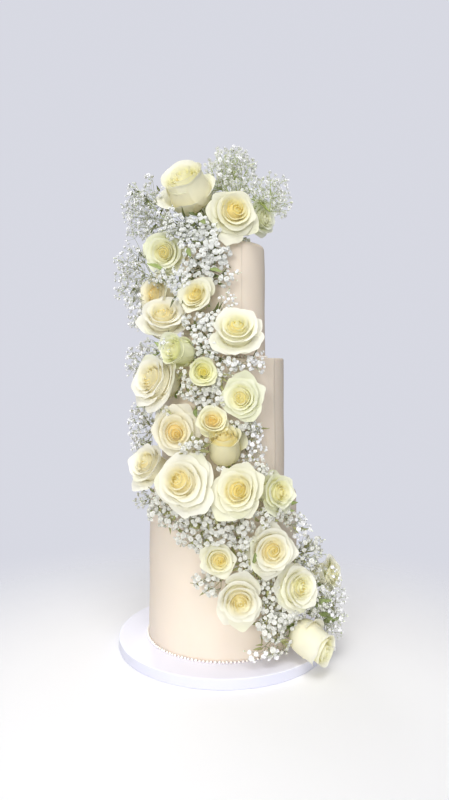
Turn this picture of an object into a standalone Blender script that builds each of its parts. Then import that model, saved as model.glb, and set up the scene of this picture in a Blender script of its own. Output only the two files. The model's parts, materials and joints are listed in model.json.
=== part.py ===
"""Three-tier wedding cake on its iced round drum, dressed with fresh roses and gypsophila.

Frame: origin at the centre of the drum's underside, +Z up, the front of the cake towards -Y, metres.
Every rose head and every bundle of gypsophila is placed by its angle round the cake (0 at the front, positive
towards +X), its distance from the cake's axis and its height. Neighbours press against each other along flat
planes, and against the fondant along the plane that touches it.
"""
import math

import bpy
from mathutils import Vector

for old in list(bpy.data.objects):
    bpy.data.objects.remove(old, do_unlink=True)

MM = 0.001
GAP = 0.3 * MM  # air between two pieces that touch

# The round drum under the cake
DRUM_RADIUS = 127 * MM
DRUM_THICK = 12 * MM
DRUM_EDGE = 0.8 * MM

# name, radius of the fondant wall, height of the foot, height of the top, rounding of the top edge
TIERS = (
    ("tier_bottom", 91 * MM, DRUM_THICK, 186.8 * MM, 5 * MM),
    ("tier_middle", 75.5 * MM, 186.8 * MM, 346.1 * MM, 2 * MM),
    ("tier_top", 52 * MM, 346.1 * MM, 483.5 * MM, 6 * MM),
)
TAPER = 0.008  # how much a wall leans in, per unit of height
SIDES = 56  # segments round every turned piece

# The piped pearl border at each tier's foot
PEARL = 3.0 * MM

FONDANT = (0.86, 0.73, 0.61)
FOIL = (0.86, 0.86, 0.93)
PEARLS = (0.88, 0.82, 0.76)
CREAM = (0.90, 0.85, 0.62)
LEMON = (0.91, 0.86, 0.55)
PEACH = (0.93, 0.83, 0.62)
GREEN = (0.83, 0.86, 0.62)
FLORET = (0.90, 0.91, 0.88)

# Rose heads: number, angle (deg), distance from axis, height, width, length (mm), azimuth and elevation (deg) of
# the way the flower looks, colour
ROSES = (
    (1, -64, 46, 545, 70, 58, -24, 40, CREAM),
    (2, 12, 48, 513, 60, 46, 12, 6, LEMON),
    (3, 98, 41, 519, 51, 44, 46, 0, GREEN),
    (4, -72, 72, 472, 52, 44, -8, -4, GREEN),
    (5, -24, 72, 413, 44, 38, -17, 12, LEMON),
    (6, -70, 80, 419, 50, 42, -40, 10, PEACH),
    (7, -56, 82, 388, 58, 48, 0, 38, CREAM),
    (8, -31, 92, 352, 40, 44, -40, 10, GREEN),
    (9, 11, 81, 372, 56, 50, -7, 30, CREAM),
    (10, -47, 98, 318, 62, 52, -44, 18, CREAM),
    (11, -14, 97, 330, 35, 30, 10, 6, LEMON),
    (12, 13, 95, 302, 50, 38, -14, 6, GREEN),
    (13, -34, 98, 264, 54, 44, 10, 10, PEACH),
    (14, -7, 96, 275, 36, 32, 4, 24, PEACH),
    (15, 1, 95, 247, 46, 50, -4, 50, PEACH),
    (16, -52, 101, 221, 52, 44, -46, 30, CREAM),
    (17, -21, 113, 210, 66, 54, -14, 22, CREAM),
    (18, 8, 112, 204, 56, 46, -10, 16, LEMON),
    (19, 31, 105, 199, 44, 42, 38, 10, LEMON),
    (20, 27, 111, 138, 55, 50, 6, 10, CREAM),
    (21, -3, 107, 131, 39, 32, 6, 6, LEMON),
    (22, 8, 115, 93, 50, 48, 8, -6, CREAM),
    (23, 42, 117, 94, 52, 44, 32, 12, CREAM),
    (24, 46, 130, 38, 50, 54, 46, -16, CREAM),
    (25, 65, 128, 99, 40, 36, 52, 14, CREAM),
    (26, 190, 40, 526, 54, 44, 185, 30, CREAM),
)

# Bundles of gypsophila: number, angle, distance from axis, height, half sizes across, outwards and up (mm)
SPRAYS = (
    (1, 150, 14, 577, 42, 27, 38),
    (2, 100, 52, 547, 29, 36, 34),
    (3, -84, 98, 524, 27, 28, 38),
    (4, -82, 112, 449, 22, 23, 44),
    (5, -76, 102, 401, 18, 16, 26),
    (6, -70, 102, 338, 20, 20, 24),
    (7, -70, 103, 262, 18, 16, 36),
    (8, -20, 67, 453, 31, 14, 43),
    (9, -21, 77, 377, 20, 14, 28),
    (10, -13, 90, 303, 22, 14, 22),
    (11, 21, 90, 249, 17, 12, 28),
    (12, 24, 103, 222, 12, 11, 11),
    (13, -27, 109, 177, 34, 14, 17),
    (14, -1, 104, 157, 42, 14, 22),
    (15, -6, 106, 106, 20, 11, 14),
    (16, 52, 118, 116, 20, 22, 34),
    (17, 64, 139, 57, 22, 18, 36),
    (18, 31, 115, 49, 30, 16, 28),
    (19, 44, 112, 170, 12, 10, 11),
    (20, -34, 60, 497, 30, 18, 18),
    (21, 215, 46, 548, 32, 24, 36),
    (22, 150, 6, 507, 44, 40, 24),
)

ROSE_SIDES = 12
SPRAY_SIDES, SPRAY_RINGS = 9, 5


def finish(name, points, faces, colour, roughness, metallic=0.0):
    """A named object from points and faces, with a material of its own."""
    mesh = bpy.data.meshes.new(name)
    mesh.from_pydata([tuple(p) for p in points], [], faces)
    mesh.validate()
    mesh.update()
    mesh.shade_smooth()
    mesh.set_sharp_from_angle(angle=math.radians(40))
    ob = bpy.data.objects.new(name, mesh)
    bpy.context.scene.collection.objects.link(ob)
    mat = bpy.data.materials.new(name)
    mat.use_nodes = True
    shader = mat.node_tree.nodes["Principled BSDF"]
    shader.inputs["Base Color"].default_value = (*colour, 1)
    shader.inputs["Roughness"].default_value = roughness
    shader.inputs["Metallic"].default_value = metallic
    mesh.materials.append(mat)
    return ob


def turned(profile, sides, closed):
    """Points and faces of a profile of (radius, height), listed from the bottom outwards and up, turned about Z.
    An open profile starts and ends on the axis; a closed one is a ring's section."""
    points, rows = [], []
    for r, z in profile:
        if r < 1e-9:
            rows.append([len(points)] * sides)
            points.append((0, 0, z))
            continue
        rows.append(list(range(len(points), len(points) + sides)))
        for k in range(sides):
            a = 2 * math.pi * k / sides
            points.append((r * math.cos(a), r * math.sin(a), z))
    faces = []
    pairs = list(zip(rows, rows[1:])) + ([(rows[-1], rows[0])] if closed else [])
    for low, high in pairs:
        for k in range(sides):
            m = (k + 1) % sides
            if low[0] == low[1]:
                faces.append((low[k], high[m], high[k]))
            elif high[0] == high[1]:
                faces.append((low[k], low[m], high[k]))
            else:
                faces.append((low[k], low[m], high[m], high[k]))
    return points, faces


def drum():
    e = DRUM_EDGE
    profile = (
        (0, 0),
        (DRUM_RADIUS - e, 0),
        (DRUM_RADIUS, e),
        (DRUM_RADIUS, DRUM_THICK - e),
        (DRUM_RADIUS - e, DRUM_THICK),
        (0, DRUM_THICK),
    )
    finish("cake_drum", *turned(profile, SIDES, False), FOIL, 0.35)


def tier(name, radius, foot, top, edge):
    low = foot + GAP
    lean = TAPER * (top - foot)
    head = radius - lean
    profile = [(0, low), (radius, low)]
    for k in range(3):
        a = math.pi / 2 * k / 2
        profile.append((head - edge + edge * math.cos(a), top - edge + edge * math.sin(a)))
    profile.append((0, top))
    finish(name, *turned(profile, SIDES, False), FONDANT, 0.55)


def pearl_ring(name, radius, foot):
    """The row of piped pearls round a tier's foot, as the rope that the pearls make together."""
    inner, z = radius + GAP, foot + GAP
    profile = (
        (inner, z),
        (inner + 0.75 * PEARL, z),
        (inner + PEARL, z + 0.5 * PEARL),
        (inner + 0.35 * PEARL, z + PEARL),
    )
    finish(name, *turned(profile, SIDES, True), PEARLS, 0.4)


def at(angle, distance, height):
    a = math.radians(angle)
    return Vector((distance * math.sin(a), -distance * math.cos(a), height)) * MM


def looking(azimuth, elevation):
    a, e = math.radians(azimuth), math.radians(elevation)
    return Vector((math.cos(e) * math.sin(a), -math.cos(e) * math.cos(a), math.sin(e)))


def frame_of(axis):
    """Two directions square to an axis: across, and up the flower."""
    across = Vector((0, 0, 1)).cross(axis)
    across = across.normalized() if across.length > 1e-6 else Vector((1, 0, 0))
    return across, axis.cross(across).normalized()


def foot_ray(centre, axis, reach):
    """The ray from a rose's centre to the foot of its calyx and stem, which bends towards the cake where it can."""
    flat = Vector((centre.x, centre.y, 0))
    r = flat.length
    best = None
    for _, radius, _, top, _ in TIERS:
        beside, above = r - radius, centre.z - top
        if above >= beside:
            spot = Vector((centre.x * min(1, 0.55 * radius / r), centre.y * min(1, 0.55 * radius / r), top))
        else:
            spot = flat * (radius / r) + Vector((0, 0, centre.z - 4 * MM))
        to = spot - centre
        if best is None or to.length < best.length:
            best = to
    if best.normalized().dot(-axis) > math.cos(math.radians(32)) and best.length > reach:
        return best.normalized(), best.length
    return -axis, reach


def rose_shape(centre, width, length, axis, seed):
    """Rays (direction, reach) of a rose head, in rows from the calyx to the heart. The rows follow a cup, the
    rolled rim of the outer petals, the hollow inside it, the rim of the inner petals, the next hollow and the
    tight spiral of the heart."""
    across, up = frame_of(axis)
    half = width * MM / 2
    tall = length * MM / (1.66 * half)
    # radius and height of each row in half widths, then how many petals scallop it and how deeply
    rows = (
        (0.42, -0.74, 5, 0.10),
        (0.90, -0.20, 5, 0.05),
        (1.00, 0.26, 5, 0.09),
        (0.74, 0.22, 5, 0.06),
        (0.58, 0.55, 4, 0.08),
        (0.37, 0.43, 4, 0.06),
        (0.25, 0.68, 3, 0.10),
    )
    rays = [[foot_ray(centre, axis, 1.05 * half * tall)]]
    for n, (r, h, petals, depth) in enumerate(rows):
        row = []
        for k in range(ROSE_SIDES):
            t = 2 * math.pi * k / ROSE_SIDES
            wave = math.cos(petals * t + seed * 1.7 + n * 0.9)
            rr = half * r * (1 + depth * wave)
            hh = half * tall * (h + 0.06 * wave + 0.03 * math.sin(t + seed))
            p = across * (rr * math.cos(t)) + up * (rr * math.sin(t)) + axis * hh
            row.append((p.normalized(), p.length))
        rays.append(row)
    rays.append([(axis, 0.46 * half * tall)])
    return centre, rays


def spray_shape(centre, sizes, angle, seed):
    """Rays of a loose bundle of gypsophila, out to its uneven outline."""
    a = math.radians(angle)
    out = Vector((math.sin(a), -math.cos(a), 0))
    across, up = Vector((-math.cos(a), -math.sin(a), 0)), Vector((0, 0, 1))
    sx, sy, sz = (s * MM for s in sizes)

    def ray(lat, lon):
        d = (
            across * (math.cos(lat) * math.cos(lon) * sx)
            + out * (math.cos(lat) * math.sin(lon) * sy)
            + up * (math.sin(lat) * sz)
        )
        lumps = 0.10 * math.sin(3 * lon + seed) * math.cos(2 * lat + 0.6 * seed) + 0.05 * math.sin(
            2 * lon - 3 * lat + 1.9 * seed
        )
        return d.normalized(), d.length * (1 + lumps)

    rays = [[ray(-math.pi / 2, 0)]]
    for i in range(1, SPRAY_RINGS + 1):
        lat = -math.pi / 2 + math.pi * i / (SPRAY_RINGS + 1)
        rays.append([ray(lat, 2 * math.pi * (k + 0.5 * (i % 2)) / SPRAY_SIDES) for k in range(SPRAY_SIDES)])
    rays.append([ray(math.pi / 2, 0)])
    return centre, rays


def reach_towards(rays, direction):
    """How far a shape reaches along a direction, from its rays nearest that way."""
    best = max((d.dot(direction), r) for row in rays for d, r in row)
    near = [r for row in rays for d, r in row if d.dot(direction) > best[0] - 0.12]
    return sum(near) / len(near)


def planes_for(centre, others, reach):
    """Planes (normal, distance) that a shape stays behind: the ones against its neighbours, and the ones that
    touch the tiers and the drum. Distances are from the shape's centre, along the normal."""
    planes = []
    for c, rays in others:
        gap = c - centre
        d = gap.length
        n = gap / d
        mine, theirs = reach(n), reach_towards(rays, -n)
        share = (d * d + mine * mine - theirs * theirs) / (2 * d)
        share = min(0.8 * d, max(0.2 * d, share))
        planes.append((n, share - GAP / 2))
    flat = Vector((centre.x, centre.y, 0))
    r = flat.length
    out = flat / r
    solids = [(radius + PEARL + GAP, top) for _, radius, _, top, _ in TIERS] + [(DRUM_RADIUS, DRUM_THICK)]
    for radius, top in solids:
        beside, above = r - radius - GAP, centre.z - top - GAP
        if above >= beside:
            planes.append((Vector((0, 0, -1)), above))
        else:
            planes.append((-out, beside))
    return planes


def pressed(rays, planes):
    """The rays shortened so that their ends stay behind every plane."""
    rows = []
    for row in rays:
        new = []
        for d, r in row:
            for n, far in planes:
                along = d.dot(n)
                if along > 1e-6:
                    r = min(r, far / along)
            new.append((d, r))
        rows.append(new)
    return rows


def closed_body(name, centre, rays, colour, roughness):
    points, rows = [], []
    for row in rays:
        rows.append(list(range(len(points), len(points) + len(row))))
        points += [centre + d * r for d, r in row]
    n = len(rays[1])
    faces = []
    for low, high in zip(rows, rows[1:]):
        for k in range(n):
            m = (k + 1) % n
            if len(low) == 1:
                faces.append((low[0], high[m], high[k]))
            elif len(high) == 1:
                faces.append((low[k], low[m], high[0]))
            else:
                faces += [(low[k], low[m], high[k]), (low[m], high[m], high[k])]
    finish(name, points, faces, colour, roughness)


drum()
for t in TIERS:
    tier(*t)
    pearl_ring("pearls_" + t[0].split("_")[1], t[1], t[2])

shapes = {}
for number, angle, distance, height, width, length, azimuth, elevation, colour in ROSES:
    shape = rose_shape(at(angle, distance, height), width, length, looking(azimuth, elevation), number)
    shapes[f"rose_{number:02d}"] = (*shape, colour, 0.6)
for number, angle, distance, height, *sizes in SPRAYS:
    shape = spray_shape(at(angle, distance, height), sizes, angle, number)
    shapes[f"gypsophila_{number:02d}"] = (*shape, FLORET, 0.8)

for name, (centre, rays, colour, roughness) in shapes.items():
    others = [
        (c, r)
        for other, (c, r, _, _) in shapes.items()
        if other != name and (c - centre).length < 0.14
    ]
    planes = planes_for(centre, others, lambda n, rays=rays: reach_towards(rays, n))
    closed_body(name, centre, pressed(rays, planes), colour, roughness)
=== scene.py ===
"""Looks of the tiered wedding cake: fondant tiers with piped pearls on a foil drum, cream roses built petal by
petal, and gypsophila built stem by stem and floret by floret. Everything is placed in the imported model's frame."""
import json
import math

import bpy
import numpy as np
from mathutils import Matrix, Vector

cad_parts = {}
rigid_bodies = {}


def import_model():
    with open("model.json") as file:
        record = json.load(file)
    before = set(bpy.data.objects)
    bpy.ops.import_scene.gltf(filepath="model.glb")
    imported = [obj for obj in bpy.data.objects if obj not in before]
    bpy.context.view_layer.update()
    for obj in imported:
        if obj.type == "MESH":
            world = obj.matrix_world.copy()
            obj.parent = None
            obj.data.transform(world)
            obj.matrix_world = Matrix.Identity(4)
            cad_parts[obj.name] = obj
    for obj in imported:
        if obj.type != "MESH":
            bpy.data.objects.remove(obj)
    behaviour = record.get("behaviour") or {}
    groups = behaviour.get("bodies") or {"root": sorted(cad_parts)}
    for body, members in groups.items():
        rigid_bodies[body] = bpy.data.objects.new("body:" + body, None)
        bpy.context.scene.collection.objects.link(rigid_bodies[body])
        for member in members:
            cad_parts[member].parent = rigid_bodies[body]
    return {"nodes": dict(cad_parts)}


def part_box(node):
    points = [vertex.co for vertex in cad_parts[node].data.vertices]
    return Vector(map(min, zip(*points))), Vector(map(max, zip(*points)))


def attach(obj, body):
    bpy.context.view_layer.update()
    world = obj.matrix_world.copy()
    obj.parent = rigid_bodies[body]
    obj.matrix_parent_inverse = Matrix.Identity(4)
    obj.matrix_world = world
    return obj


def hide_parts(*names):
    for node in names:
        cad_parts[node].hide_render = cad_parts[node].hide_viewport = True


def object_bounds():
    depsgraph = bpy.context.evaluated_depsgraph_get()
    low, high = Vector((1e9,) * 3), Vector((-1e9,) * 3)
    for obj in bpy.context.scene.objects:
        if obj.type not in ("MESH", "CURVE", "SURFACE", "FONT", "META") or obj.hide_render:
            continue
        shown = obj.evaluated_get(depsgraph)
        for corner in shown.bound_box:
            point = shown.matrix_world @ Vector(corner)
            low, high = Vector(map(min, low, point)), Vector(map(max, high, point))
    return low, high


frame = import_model()
CAD_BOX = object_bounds()
MM = 0.001
TAU = 2 * math.pi


# ------------------------------------------------------------------ helpers
def lin(r, g, b):
    """sRGB 0-255 to linear."""
    out = []
    for c in (r, g, b):
        c /= 255
        out.append(c / 12.92 if c <= 0.04045 else ((c + 0.055) / 1.055) ** 2.4)
    return np.array(out)


def smooth(x, lo=0.0, hi=1.0):
    x = np.clip((np.asarray(x, float) - lo) / (hi - lo), 0, 1)
    return x * x * (3 - 2 * x)


def unit(v):
    v = np.asarray(v, float)
    return v / np.maximum(np.linalg.norm(v, axis=-1, keepdims=True), 1e-12)


class Soup:
    """Vertices, triangles or quads, a colour per vertex and a material per face, joined into one mesh."""

    def __init__(self):
        self.v, self.tri, self.quad, self.col, self.tm, self.qm, self.n = [], [], [], [], [], [], 0

    def add(self, verts, tris=None, quads=None, colour=None, mat=0):
        verts = np.asarray(verts, float).reshape(-1, 3)
        self.v.append(verts)
        if tris is not None and len(tris):
            self.tri.append(np.asarray(tris, int).reshape(-1, 3) + self.n)
            self.tm.append(np.full(len(self.tri[-1]), mat))
        if quads is not None and len(quads):
            self.quad.append(np.asarray(quads, int).reshape(-1, 4) + self.n)
            self.qm.append(np.full(len(self.quad[-1]), mat))
        if colour is None:
            colour = np.ones(3)
        self.col.append(np.broadcast_to(np.asarray(colour, float), (len(verts), 3)))
        self.n += len(verts)

    def mesh(self, name, mats, sharp=None):
        v = np.concatenate(self.v)
        tri = np.concatenate(self.tri) if self.tri else np.zeros((0, 3), int)
        quad = np.concatenate(self.quad) if self.quad else np.zeros((0, 4), int)
        me = bpy.data.meshes.new(name)
        me.vertices.add(len(v))
        me.vertices.foreach_set("co", v.astype(np.float32).ravel())
        loops = np.concatenate([tri.ravel(), quad.ravel()])
        sizes = np.concatenate([np.full(len(tri), 3), np.full(len(quad), 4)])
        me.loops.add(len(loops))
        me.loops.foreach_set("vertex_index", loops.astype(np.int32))
        me.polygons.add(len(sizes))
        me.polygons.foreach_set("loop_start", np.concatenate([[0], np.cumsum(sizes)[:-1]]).astype(np.int32))
        me.polygons.foreach_set("loop_total", sizes.astype(np.int32))
        me.polygons.foreach_set("use_smooth", np.ones(len(sizes), bool))
        where = np.concatenate([np.concatenate(self.tm) if self.tm else np.zeros(0), np.concatenate(self.qm) if self.qm else np.zeros(0)])
        for m in mats:
            me.materials.append(m)
        me.polygons.foreach_set("material_index", where.astype(np.int32))
        me.update(calc_edges=True)
        me.validate()
        a = me.attributes.new("tint", "FLOAT_COLOR", "POINT")
        rgba = np.ones((len(v), 4), np.float32)
        rgba[:, :3] = np.concatenate(self.col)
        a.data.foreach_set("color", rgba.ravel())
        if sharp:
            me.set_sharp_from_angle(angle=math.radians(sharp))
        ob = bpy.data.objects.new(name, me)
        bpy.context.scene.collection.objects.link(ob)
        return ob


def at(angle, distance, height):
    a = math.radians(angle)
    return np.array([distance * math.sin(a), -distance * math.cos(a), height]) * MM


def looking(azimuth, elevation):
    a, e = math.radians(azimuth), math.radians(elevation)
    return np.array([math.cos(e) * math.sin(a), -math.cos(e) * math.cos(a), math.sin(e)])


def basis(axis, roll=0.0):
    """Columns: across, up the flower, axis."""
    axis = unit(axis)
    ref = np.array([0, 0, 1.0]) if abs(axis[2]) < 0.95 else np.array([0, 1.0, 0])
    x = unit(np.cross(ref, axis))
    y = np.cross(axis, x)
    c, s = math.cos(roll), math.sin(roll)
    return np.stack([x * c + y * s, -x * s + y * c, axis], axis=1)


# ------------------------------------------------------------------ camera, stage and light
cam_data = bpy.data.cameras.new("camera")
cam = bpy.data.objects.new("camera", cam_data)
bpy.context.scene.collection.objects.link(cam)
cam.location = (0, -0.80, 0.338)
cam.rotation_euler = (math.pi / 2, 0, 0)
cam_data.sensor_width = 36
cam_data.lens = 36 * 649 / 800
cam_data.shift_x = 0.0016
cam_data.shift_y = -35 / 800
cam_data.clip_start = 0.01
bpy.context.scene.camera = cam

scene = bpy.context.scene
scene.view_settings.view_transform = "Standard"
scene.view_settings.look = "None"
scene.view_settings.exposure = 0
scene.view_settings.gamma = 1
# pale petals and icing hand light on many times
scene.cycles.diffuse_bounces = 10
scene.cycles.max_bounces = 14


def node_material(name):
    m = bpy.data.materials.new(name)
    m.use_nodes = True
    nt = m.node_tree
    return m, nt, nt.nodes["Principled BSDF"]


def plain(name, colour, rough):
    m, nt, b = node_material(name)
    b.inputs["Base Color"].default_value = (*colour, 1)
    b.inputs["Roughness"].default_value = rough
    b.inputs["Specular IOR Level"].default_value = 0.2
    return m


# a round pale floor that fades out into the studio's even backdrop, so that it looks the same from every side
disc = Soup()
rings = np.concatenate([[0.0], np.linspace(0.1, 1.2, 23)])
pv = np.concatenate([[[0, -0.12, 0]]] + [np.stack([r * np.cos(np.arange(64) * TAU / 64), r * np.sin(np.arange(64) * TAU / 64) - 0.12, np.zeros(64)], 1) for r in rings[1:]])
fan = [(0, 1 + k, 1 + (k + 1) % 64) for k in range(64)]
band = [(1 + 64 * j + k, 1 + 64 * (j + 1) + k, 1 + 64 * (j + 1) + (k + 1) % 64, 1 + 64 * j + (k + 1) % 64) for j in range(len(rings) - 2) for k in range(64)]
disc.add(pv, tris=fan, quads=band)
m_stage, nt, b = node_material("stage_paper")
geo = nt.nodes.new("ShaderNodeNewGeometry")
away = nt.nodes.new("ShaderNodeVectorMath")
away.operation = "DISTANCE"
away.inputs[1].default_value = (0, -0.12, 0)
ramp = nt.nodes.new("ShaderNodeMapRange")
ramp.interpolation_type = "SMOOTHSTEP"
ramp.inputs["From Min"].default_value = 0.18
ramp.inputs["From Max"].default_value = 0.62
clear_ = nt.nodes.new("ShaderNodeBsdfTransparent")
mixf = nt.nodes.new("ShaderNodeMixShader")
nt.links.new(geo.outputs["Position"], away.inputs[0])
nt.links.new(away.outputs["Value"], ramp.inputs["Value"])
nt.links.new(ramp.outputs["Result"], mixf.inputs[0])
nt.links.new(b.outputs[0], mixf.inputs[1])
nt.links.new(clear_.outputs[0], mixf.inputs[2])
nt.links.new(mixf.outputs[0], nt.nodes["Material Output"].inputs["Surface"])
b.inputs["Base Color"].default_value = (0.965, 0.96, 0.975, 1)
b.inputs["Roughness"].default_value = 0.9
b.inputs["Specular IOR Level"].default_value = 0.1
stage = disc.mesh("stage", [m_stage])


def area(name, loc, target, size, power, colour=(1, 1, 1)):
    d = bpy.data.lights.new(name, "AREA")
    d.shape = "DISK"
    d.size = size
    d.energy = power
    d.color = colour
    o = bpy.data.objects.new(name, d)
    bpy.context.scene.collection.objects.link(o)
    o.location = loc
    o.visible_camera = False
    o.rotation_euler = (Vector(target) - Vector(loc)).to_track_quat("-Z", "Y").to_euler()
    return o


area("key", (-0.75, -1.75, 0.75), (0, 0, 0.28), 0.65, 6.9)
area("window", (-0.75, -2.9, 0.95), (0, 0, 0.30), 0.8, 22)
area("front", (0.1, -2.4, 0.6), (0, 0, 0.27), 1.5, 12.4)
area("over", (0.1, -1.5, 2.3), (0.0, -0.75, 0.0), 1.4, 29)
area("behind", (-0.8, -0.3, 2.2), (0, 0.3, 0.2), 1.0, 3)
area("back", (-0.9, 2.1, 1.1), (0, 0, 0.3), 1.8, 16)
world = bpy.data.worlds.new("world")
scene.world = world
world.use_nodes = True
wn = world.node_tree
bg = wn.nodes["Background"]
bg.inputs["Color"].default_value = (1, 1, 1, 1)
bg.inputs["Strength"].default_value = 0.33
# the backdrop: what is seen past the floor, an even pale grey
drop = wn.nodes.new("ShaderNodeBackground")
drop.inputs["Color"].default_value = (0.685, 0.695, 0.765, 1)
path = wn.nodes.new("ShaderNodeLightPath")
pick = wn.nodes.new("ShaderNodeMixShader")
wn.links.new(path.outputs["Is Camera Ray"], pick.inputs[0])
wn.links.new(bg.outputs[0], pick.inputs[1])
wn.links.new(drop.outputs[0], pick.inputs[2])
wn.links.new(pick.outputs[0], wn.nodes["World Output"].inputs["Surface"])


# ------------------------------------------------------------------ materials
def tinted(name, rough, sss=0.0, radius=(1, 1, 1), scale=0.001, bump=0.0, bump_scale=900.0, vary=0.06, vary_scale=120.0, spec=0.3, sheen=0.0, through=0.0):
    """A Principled material that takes its colour from the mesh's tint, broken up by noise."""
    m, nt, b = node_material(name)
    att = nt.nodes.new("ShaderNodeAttribute")
    att.attribute_name = "tint"
    tc = nt.nodes.new("ShaderNodeTexCoord")
    noise = nt.nodes.new("ShaderNodeTexNoise")
    noise.inputs["Scale"].default_value = vary_scale
    noise.inputs["Detail"].default_value = 4
    nt.links.new(tc.outputs["Object"], noise.inputs["Vector"])
    mr = nt.nodes.new("ShaderNodeMapRange")
    mr.inputs["From Min"].default_value = 0.3
    mr.inputs["From Max"].default_value = 0.7
    mr.inputs["To Min"].default_value = 1 - vary
    mr.inputs["To Max"].default_value = 1 + vary * 0.4
    nt.links.new(noise.outputs["Fac"], mr.inputs["Value"])
    mul = nt.nodes.new("ShaderNodeVectorMath")
    mul.operation = "SCALE"
    nt.links.new(att.outputs["Color"], mul.inputs[0])
    nt.links.new(mr.outputs["Result"], mul.inputs["Scale"])
    nt.links.new(mul.outputs["Vector"], b.inputs["Base Color"])
    b.inputs["Roughness"].default_value = rough
    b.inputs["Specular IOR Level"].default_value = spec
    if sss:
        b.inputs["Subsurface Weight"].default_value = sss
        b.inputs["Subsurface Radius"].default_value = radius
        b.inputs["Subsurface Scale"].default_value = scale
    if sheen:
        b.inputs["Sheen Weight"].default_value = sheen
        b.inputs["Sheen Roughness"].default_value = 0.5
    if bump:
        n2 = nt.nodes.new("ShaderNodeTexNoise")
        n2.inputs["Scale"].default_value = bump_scale
        n2.inputs["Detail"].default_value = 3
        nt.links.new(tc.outputs["Object"], n2.inputs["Vector"])
        bp = nt.nodes.new("ShaderNodeBump")
        bp.inputs["Strength"].default_value = 0.6
        bp.inputs["Distance"].default_value = bump
        nt.links.new(n2.outputs["Fac"], bp.inputs["Height"])
        nt.links.new(bp.outputs["Normal"], b.inputs["Normal"])
    if through:
        # thin sheets let light through, so that the folds of a flower glow
        tr = nt.nodes.new("ShaderNodeBsdfTranslucent")
        nt.links.new(mul.outputs["Vector"], tr.inputs["Color"])
        mx = nt.nodes.new("ShaderNodeMixShader")
        mx.inputs[0].default_value = through
        nt.links.new(b.outputs[0], mx.inputs[1])
        nt.links.new(tr.outputs[0], mx.inputs[2])
        nt.links.new(mx.outputs[0], nt.nodes["Material Output"].inputs["Surface"])
    return m


M_PETAL = tinted("rose_petal", 0.6, bump=0.00005, bump_scale=700, vary=0.02, vary_scale=90, spec=0.2, through=0.46)
M_OUTER = tinted("rose_outer", 0.6, bump=0.00005, bump_scale=700, vary=0.02, vary_scale=90, spec=0.2, through=0.30)
M_GREEN = tinted("stem_green", 0.5, sss=0.1, radius=(0.5, 1.0, 0.2), scale=0.0008, bump=0.00004, bump_scale=1200, vary=0.18, vary_scale=200, spec=0.35)
M_FLORET = tinted("gyp_floret", 0.7, sss=0.0, radius=(1, 1, 0.9), scale=0.001, vary=0.05, vary_scale=500, spec=0.15)
M_FONDANT = tinted("fondant", 0.5, sss=0.12, radius=(1.0, 0.7, 0.45), scale=0.004, bump=0.00008, bump_scale=420, vary=0.02, vary_scale=22, spec=0.3)
M_PEARL = tinted("pearl_icing", 0.32, sss=0.15, radius=(1.0, 0.8, 0.6), scale=0.002, bump=0.00002, bump_scale=1500, vary=0.03, vary_scale=400, spec=0.5)


def foil_material():
    m, nt, b = node_material("drum_foil")
    tc = nt.nodes.new("ShaderNodeTexCoord")
    vor = nt.nodes.new("ShaderNodeTexVoronoi")
    vor.feature = "DISTANCE_TO_EDGE"
    vor.inputs["Scale"].default_value = 260
    nt.links.new(tc.outputs["Object"], vor.inputs["Vector"])
    noise = nt.nodes.new("ShaderNodeTexNoise")
    noise.inputs["Scale"].default_value = 35
    noise.inputs["Detail"].default_value = 5
    nt.links.new(tc.outputs["Object"], noise.inputs["Vector"])
    add = nt.nodes.new("ShaderNodeMath")
    add.operation = "ADD"
    nt.links.new(vor.outputs["Distance"], add.inputs[0])
    nt.links.new(noise.outputs["Fac"], add.inputs[1])
    bp = nt.nodes.new("ShaderNodeBump")
    bp.inputs["Strength"].default_value = 0.25
    bp.inputs["Distance"].default_value = 0.0002
    nt.links.new(add.outputs[0], bp.inputs["Height"])
    nt.links.new(bp.outputs["Normal"], b.inputs["Normal"])
    mr = nt.nodes.new("ShaderNodeMapRange")
    mr.inputs["From Min"].default_value = 0.3
    mr.inputs["From Max"].default_value = 0.7
    mr.inputs["To Min"].default_value = 0.32
    mr.inputs["To Max"].default_value = 0.46
    nt.links.new(noise.outputs["Fac"], mr.inputs["Value"])
    nt.links.new(mr.outputs["Result"], b.inputs["Roughness"])
    cr = nt.nodes.new("ShaderNodeMix")
    cr.data_type = "RGBA"
    cr.inputs["A"].default_value = (0.855, 0.85, 0.965, 1)
    cr.inputs["B"].default_value = (0.885, 0.88, 0.985, 1)
    nt.links.new(noise.outputs["Fac"], cr.inputs["Factor"])
    att = nt.nodes.new("ShaderNodeAttribute")
    att.attribute_name = "tint"
    mul = nt.nodes.new("ShaderNodeVectorMath")
    mul.operation = "MULTIPLY"
    nt.links.new(cr.outputs["Result"], mul.inputs[0])
    nt.links.new(att.outputs["Color"], mul.inputs[1])
    nt.links.new(mul.outputs["Vector"], b.inputs["Base Color"])
    b.inputs["Specular IOR Level"].default_value = 0.35
    b.inputs["Coat Weight"].default_value = 0.15
    b.inputs["Coat Roughness"].default_value = 0.3
    return m


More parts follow.
